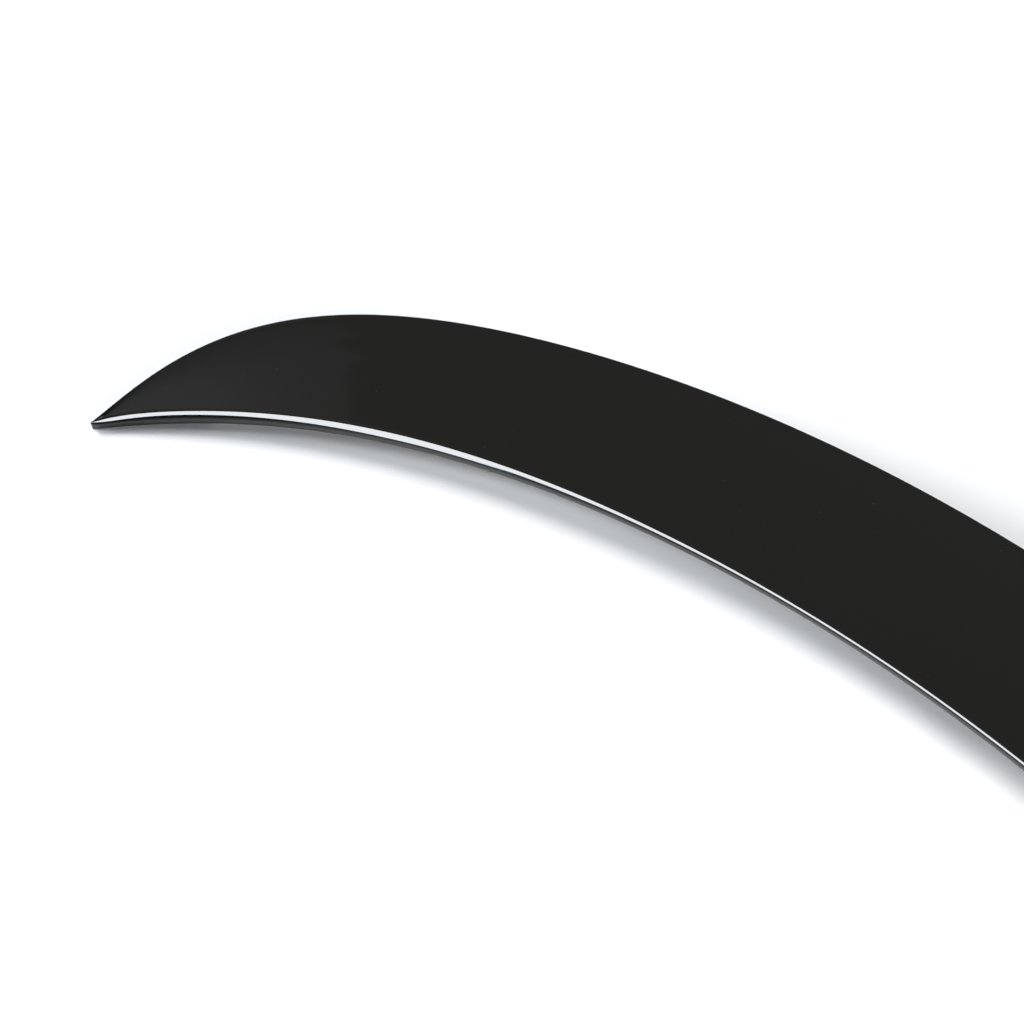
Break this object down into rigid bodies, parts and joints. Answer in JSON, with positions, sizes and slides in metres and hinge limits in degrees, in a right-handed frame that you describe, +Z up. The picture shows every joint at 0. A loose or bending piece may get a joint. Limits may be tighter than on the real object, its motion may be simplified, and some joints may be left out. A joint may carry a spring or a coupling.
{
  "type": "boot lid lip spoiler",
  "caption": "Bowed gloss black lip spoiler for a boot lid: an open ribbed shell with pointed tips, a rounded front edge, a kicked-up trailing edge and taped lands.",
  "frame": {"origin": "middle of the box around the blade, on the surface that it rests on", "axes": "+X along the width toward the right tip, +Y from the front edge toward the trailing edge, +Z up"},
  "size_m": [1.124, 0.3322, 0.0448],
  "materials": {
    "gloss_black": "high gloss clear coat",
    "foam_tape": "matte foam",
    "release_liner": "satin film"
  },
  "bodies": {
    "root": {"spoiler_blade": "gloss_black", "front_tape_left": "foam_tape", "front_tape_right": "foam_tape", "rear_tape_left": "foam_tape", "rear_tape_right": "foam_tape", "front_liner_left": "release_liner", "front_liner_right": "release_liner", "rear_liner_left": "release_liner", "rear_liner_right": "release_liner"}
  },
  "joints": []
}
